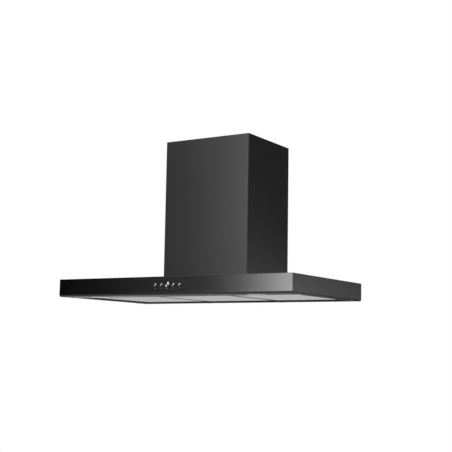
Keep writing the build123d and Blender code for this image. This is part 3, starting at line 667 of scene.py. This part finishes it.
ring = lamp_disc(RING_R, PAN_UNDERSIDE - bezels_low.z)
bpy.ops.object.mode_set(mode="EDIT")
pick(lambda centre, normal: abs(normal.z) > SQUARE_ON)
bpy.ops.mesh.inset(thickness=RING_R - LENS_R - LENS_GAP)
bpy.ops.mesh.bridge_edge_loops()
bpy.ops.object.mode_set(mode="OBJECT")
round_edges(ring, RING_LIP, segments=4)
hand_over(copies(ring, LAMP_PLACES), "lamp_rings", "hood", "lamp_trim", lamp_trim, "lamp_bezels")

# %% [markdown]
# The lens of a lamp is opal plastic, with shallow round ridges that spread the light. A bump could hint
# at them, but they are large enough to model: the lower face of a disc is inset again and again, each
# time a step down or a step up.

# %% Lamp lenses
LENS_RIDGES = 5
RIDGE_H = 0.25 * MM
RIDGE_EDGE = 0.2 * MM
RIDGE_W = LENS_R / (2 * LENS_RIDGES + 2)

lens = lamp_disc(LENS_R, PAN_UNDERSIDE - lenses_low.z)
bpy.ops.object.mode_set(mode="EDIT")
pick(lambda centre, normal: normal.z < -SQUARE_ON)
for _ in range(LENS_RIDGES):
    for rise in (-RIDGE_H, RIDGE_H):
        bpy.ops.mesh.inset(thickness=RIDGE_W, depth=rise)
bpy.ops.object.mode_set(mode="OBJECT")
round_edges(lens, RIDGE_EDGE, segments=2, sharp=20)
lenses = copies(lens, LAMP_PLACES)
hand_over(lenses, "lamp_ridged_lenses", "hood", "lamp_lens", opal_lens, "lamp_lenses")

# %% [markdown]
# Eight small screws with rounded heads hold the pan: two in each side rim, and two each in the front
# strip and the rear rim. One head is a short cylinder with a rounded edge. Its cross could be a dark
# print, but a cut catches the light as the real one does, so the Boolean modifier takes two bars out of
# it before it is copied.

# %% Pan screws
HEAD_R = 3.0 * MM
HEAD_H = 1.5 * MM
HEAD_SIDES = 32
HEAD_EDGE = 0.9 * MM
CROSS_W = 0.8 * MM
CROSS_L = 3.4 * MM
SCREW_IN = 7.5 * MM
SIDE_SCREW_YS = (-440 * MM, -60 * MM)
MID_SCREW_X = 150 * MM
canopy_low, canopy_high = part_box("canopy_body")
SIDE_SCREW_X = canopy_high.x - SCREW_IN
MID_SCREW_YS = (canopy_low.y + SCREW_IN, canopy_high.y - SCREW_IN)

screw_places = []
for out, depths in ((SIDE_SCREW_X, SIDE_SCREW_YS), (MID_SCREW_X, MID_SCREW_YS)):
    screw_places += [(x, y, PAN_UNDERSIDE) for x in (-out, out) for y in depths]
head = start(
    bpy.ops.mesh.primitive_cylinder_add,
    vertices=HEAD_SIDES,
    radius=HEAD_R,
    depth=HEAD_H,
    location=(0, 0, -HEAD_H / 2),
)
round_edges(head, HEAD_EDGE, segments=4)
for size in ((CROSS_L, CROSS_W, HEAD_H), (CROSS_W, CROSS_L, HEAD_H)):
    arm = start(bpy.ops.mesh.primitive_cube_add, size=1, location=(0, 0, -HEAD_H), stretch=size)
    bpy.ops.object.select_all(action="DESELECT")
    use_modifier(head, "BOOLEAN", object=arm, operation="DIFFERENCE", solver="EXACT")
    bpy.data.objects.remove(arm)
heads = copies(head, screw_places)
hand_over(heads, "pan_screw_heads", "hood", "zinc_steel", zinc_steel, "pan_screws")

# %% [markdown]
# The studio is white. The hood hangs well above a pale floor, and where the camera looks, straight or by
# way of a mirror or a pane, the floor and the world are plain white. Stronger lamps could whiten them
# too, but they would bleach the hood, so the Light Path node sorts the rays instead. For all other rays
# the floor is soft paper and the world a dim fill.

# %% Floor and world
FLOOR_Z = -4.5
FLOOR_SIZE = 120.0
FLOOR_PAPER = (0.8, 0.8, 0.8, 1)
WORLD_LIGHT = 0.45
WHITE = (1, 1, 1, 1)


def stage_finish(name):
    """An empty material for the stage, with its nodes and links."""
    finish = bpy.data.materials.new(name)
    finish.use_nodes = True
    finish.node_tree.nodes.clear()
    return finish, finish.node_tree.nodes, finish.node_tree.links


def white_when_seen(nodes, links, plain, white, out):
    """Show one shader to the camera, to mirrors and to panes, and the plain one to all other rays."""
    path = nodes.new("ShaderNodeLightPath")
    seen = path.outputs["Is Camera Ray"]
    for ray in ("Is Glossy Ray", "Is Transmission Ray"):
        either = nodes.new("ShaderNodeMath")
        either.operation = "MAXIMUM"
        links.new(seen, either.inputs[0])
        links.new(path.outputs[ray], either.inputs[1])
        seen = either.outputs["Value"]
    mix = nodes.new("ShaderNodeMixShader")
    links.new(seen, mix.inputs["Fac"])
    links.new(plain.outputs[0], mix.inputs[1])
    links.new(white.outputs[0], mix.inputs[2])
    links.new(mix.outputs["Shader"], out.inputs["Surface"])


floor = start(bpy.ops.mesh.primitive_plane_add, size=FLOOR_SIZE, location=(0, 0, FLOOR_Z))
floor.name = "studio_floor"
paper, nodes, links = stage_finish("pale_floor_paper")
soft = nodes.new("ShaderNodeBsdfDiffuse")
soft.inputs["Color"].default_value = FLOOR_PAPER
bright = nodes.new("ShaderNodeEmission")
white_when_seen(nodes, links, soft, bright, nodes.new("ShaderNodeOutputMaterial"))
floor.data.materials.append(paper)

world = bpy.data.worlds.new("white_studio")
bpy.context.scene.world = world
world.use_nodes = True
nodes, links = world.node_tree.nodes, world.node_tree.links
nodes.clear()
fill = nodes.new("ShaderNodeBackground")
fill.inputs["Strength"].default_value = WORLD_LIGHT
bright = nodes.new("ShaderNodeBackground")
for background in (fill, bright):
    background.inputs["Color"].default_value = WHITE
white_when_seen(nodes, links, fill, bright, nodes.new("ShaderNodeOutputWorld"))
print("floor at z =", FLOOR_Z, "and world fill of", WORLD_LIGHT)

# %% [markdown]
# Black gloss shows what stands around it rather than its own colour. Lamps would leave small bright
# spots on it, so large glowing cards shade it instead, which the surfaces see and the camera doesn't.
# A card's strength is given at places along its two edges, in metres, and a colour ramp blends from one
# place to the next. A card that should only be mirrored is hidden from diffuse rays.

# %% A glowing card
def ramp_along(nodes, links, direction, steps):
    """A ramp along one edge of a card through its (place, strength) steps, and its highest strength."""
    ramp = nodes.new("ShaderNodeValToRGB")
    first, last = steps[0][0], steps[-1][0]
    peak = max(strength for _, strength in steps)
    points = ramp.color_ramp.elements
    while len(points) < len(steps):
        points.new(0.5)
    for point, (place, strength) in zip(points, steps):
        point.position = (place - first) / (last - first)
        point.color = (*[strength / peak] * 3, 1)
    links.new(direction, ramp.inputs["Fac"])
    return ramp.outputs["Color"], peak


def light_card(name, level, across, up, lying=False, diffuse=True):
    """A glowing card that stands at a depth, with steps along X and Z.

    A lying card hangs at a height instead, with steps along X and Y.
    """
    left, right = across[0][0], across[-1][0]
    low, high = up[0][0], up[-1][0]
    mid_across = (left + right) / 2
    mid_up = (low + high) / 2
    card = start(
        bpy.ops.mesh.primitive_plane_add,
        size=1,
        location=(mid_across, mid_up, level) if lying else (mid_across, level, mid_up),
        rotation=(0, 0, 0) if lying else FACING_ROOM,
        stretch=(right - left, high - low, 1),
    )
    card.name = name
    glow, nodes, links = stage_finish(name + "_glow")
    place = nodes.new("ShaderNodeUVMap")
    split = nodes.new("ShaderNodeSeparateXYZ")
    links.new(place.outputs["UV"], split.inputs["Vector"])
    first, first_peak = ramp_along(nodes, links, split.outputs["X"], across)
    second, second_peak = ramp_along(nodes, links, split.outputs["Y"], up)
    both = nodes.new("ShaderNodeVectorMath")
    both.operation = "MULTIPLY"
    links.new(first, both.inputs[0])
    links.new(second, both.inputs[1])
    lamp = nodes.new("ShaderNodeEmission")
    lamp.inputs["Strength"].default_value = first_peak * second_peak
    out = nodes.new("ShaderNodeOutputMaterial")
    links.new(both.outputs["Vector"], lamp.inputs["Color"])
    links.new(lamp.outputs["Emission"], out.inputs["Surface"])
    card.data.materials.append(glow)
    card.visible_camera = False
    card.visible_shadow = False
    card.visible_diffuse = diffuse
    print(name, "peaks at", round(first_peak * second_peak, 2))


print("cards can be hung around", floor.name)

# %% [markdown]
# The glass front and the face of the chimney mirror what stands in front of the hood on the left. A
# softbox there grows brighter from its left end to its right one, which gives the glass its run from
# black to grey. One even lamp could not do that, because so smooth a glass shows the edge of a lamp as
# a hard line.

# %% Softbox in front
SOFTBOX_Y = -4.5
SOFTBOX_WIDTH = (
    (-8.0, 0.0),
    (-4.3, 0.01),
    (-3.9, 0.04),
    (-3.4, 0.19),
    (-3.0, 0.4),
    (-2.5, 0.65),
    (-2.3, 1.0),
    (-2.1, 2.1),
    (-1.9, 4.3),
    (-1.7, 7.5),
    (-1.4, 11.5),
)
SOFTBOX_HEIGHT = ((-0.1, 1), (3.5, 1))
light_card("front_softbox", SOFTBOX_Y, SOFTBOX_WIDTH, SOFTBOX_HEIGHT)

# %% [markdown]
# The right sides of the canopy and the chimney mirror what stands behind the hood on the right. The card
# there is brighter low down, where the canopy looks, and dims upwards for the chimney, and it fades
# towards the middle. Two cards could do the same, but their edges would show.

# %% Card behind on the right
SIDE_Y = 3.2
SIDE_WIDTH = (
    (-1.5, 0.1),
    (1.6, 0.15),
    (1.85, 0.3),
    (2.0, 0.5),
    (2.2, 1.1),
    (2.4, 1.8),
    (3.0, 2.2),
    (7.2, 2.2),
)
SIDE_HEIGHT = (
    (-2.0, 0.9),
    (0.2, 0.75),
    (0.3, 0.6),
    (0.42, 0.25),
    (0.7, 0.15),
    (1.34, 0.08),
    (4.0, 0.05),
)
light_card("side_card", SIDE_Y, SIDE_WIDTH, SIDE_HEIGHT)

# %% [markdown]
# The underside is seen at a flat angle, so it mirrors a low band far behind the hood. Left alone, that
# band is white, and the black rims of the pan would fade into it. A dark card there keeps them black, and
# its left end is light, as the left rim is in the picture. The flat top of the canopy would mirror
# nothing but white from above, so a ceiling card that brightens towards the wall gives it a soft run of
# light. Both cards are only mirrored, so they don't light the pale pieces.

# %% Cards behind and above
REAR_Y = 6.0
REAR_WIDTH = ((-12.0, 1.0), (-5.2, 1.0), (-4.6, 0.1), (4.0, 0.1))
REAR_HEIGHT = ((-2.0, 1), (0.0, 1))
light_card("rear_card", REAR_Y, REAR_WIDTH, REAR_HEIGHT, diffuse=False)
CEILING_Z = 4.5
CEILING_WIDTH = ((-7.0, 1), (7.0, 1))
CEILING_DEPTH = ((-7.0, 0.9), (-2.0, 0.9), (1.0, 1.3), (4.0, 2.8), (9.0, 3.5))
light_card("ceiling_card", CEILING_Z, CEILING_WIDTH, CEILING_DEPTH, lying=True, diffuse=False)

# %% [markdown]
# The camera stands to the right, a little below the canopy, and looks up at the hood. It could be set by
# eye, but its place and turn were worked out from the hood's corners in the picture, so that each falls
# within about two pixels of its own, and no lens shift is needed.

# %% Camera
CAMERA_PLACE = (1.7910, -3.0635, -0.2077)
CAMERA_YAW = 0.55104
CAMERA_PITCH = 0.12632
CAMERA_ROLL = 0.01692
FOCAL_PIXELS = 979.117
FRAME_PIXELS = 452
SENSOR_WIDTH = 36.0

camera = bpy.data.objects.new("camera", bpy.data.cameras.new("camera"))
bpy.context.scene.collection.objects.link(camera)
camera.data.sensor_width = SENSOR_WIDTH
camera.data.lens = FOCAL_PIXELS / FRAME_PIXELS * SENSOR_WIDTH
camera.matrix_world = (
    Matrix.Translation(CAMERA_PLACE)
    @ Matrix.Rotation(CAMERA_YAW, 4, "Z")
    @ Matrix.Rotation(math.pi / 2 + CAMERA_PITCH, 4, "X")
    @ Matrix.Rotation(CAMERA_ROLL, 4, "Z")
)
bpy.context.scene.camera = camera
bpy.context.scene.view_settings.view_transform = "Standard"
print("camera lens", round(camera.data.lens, 2), "mm")
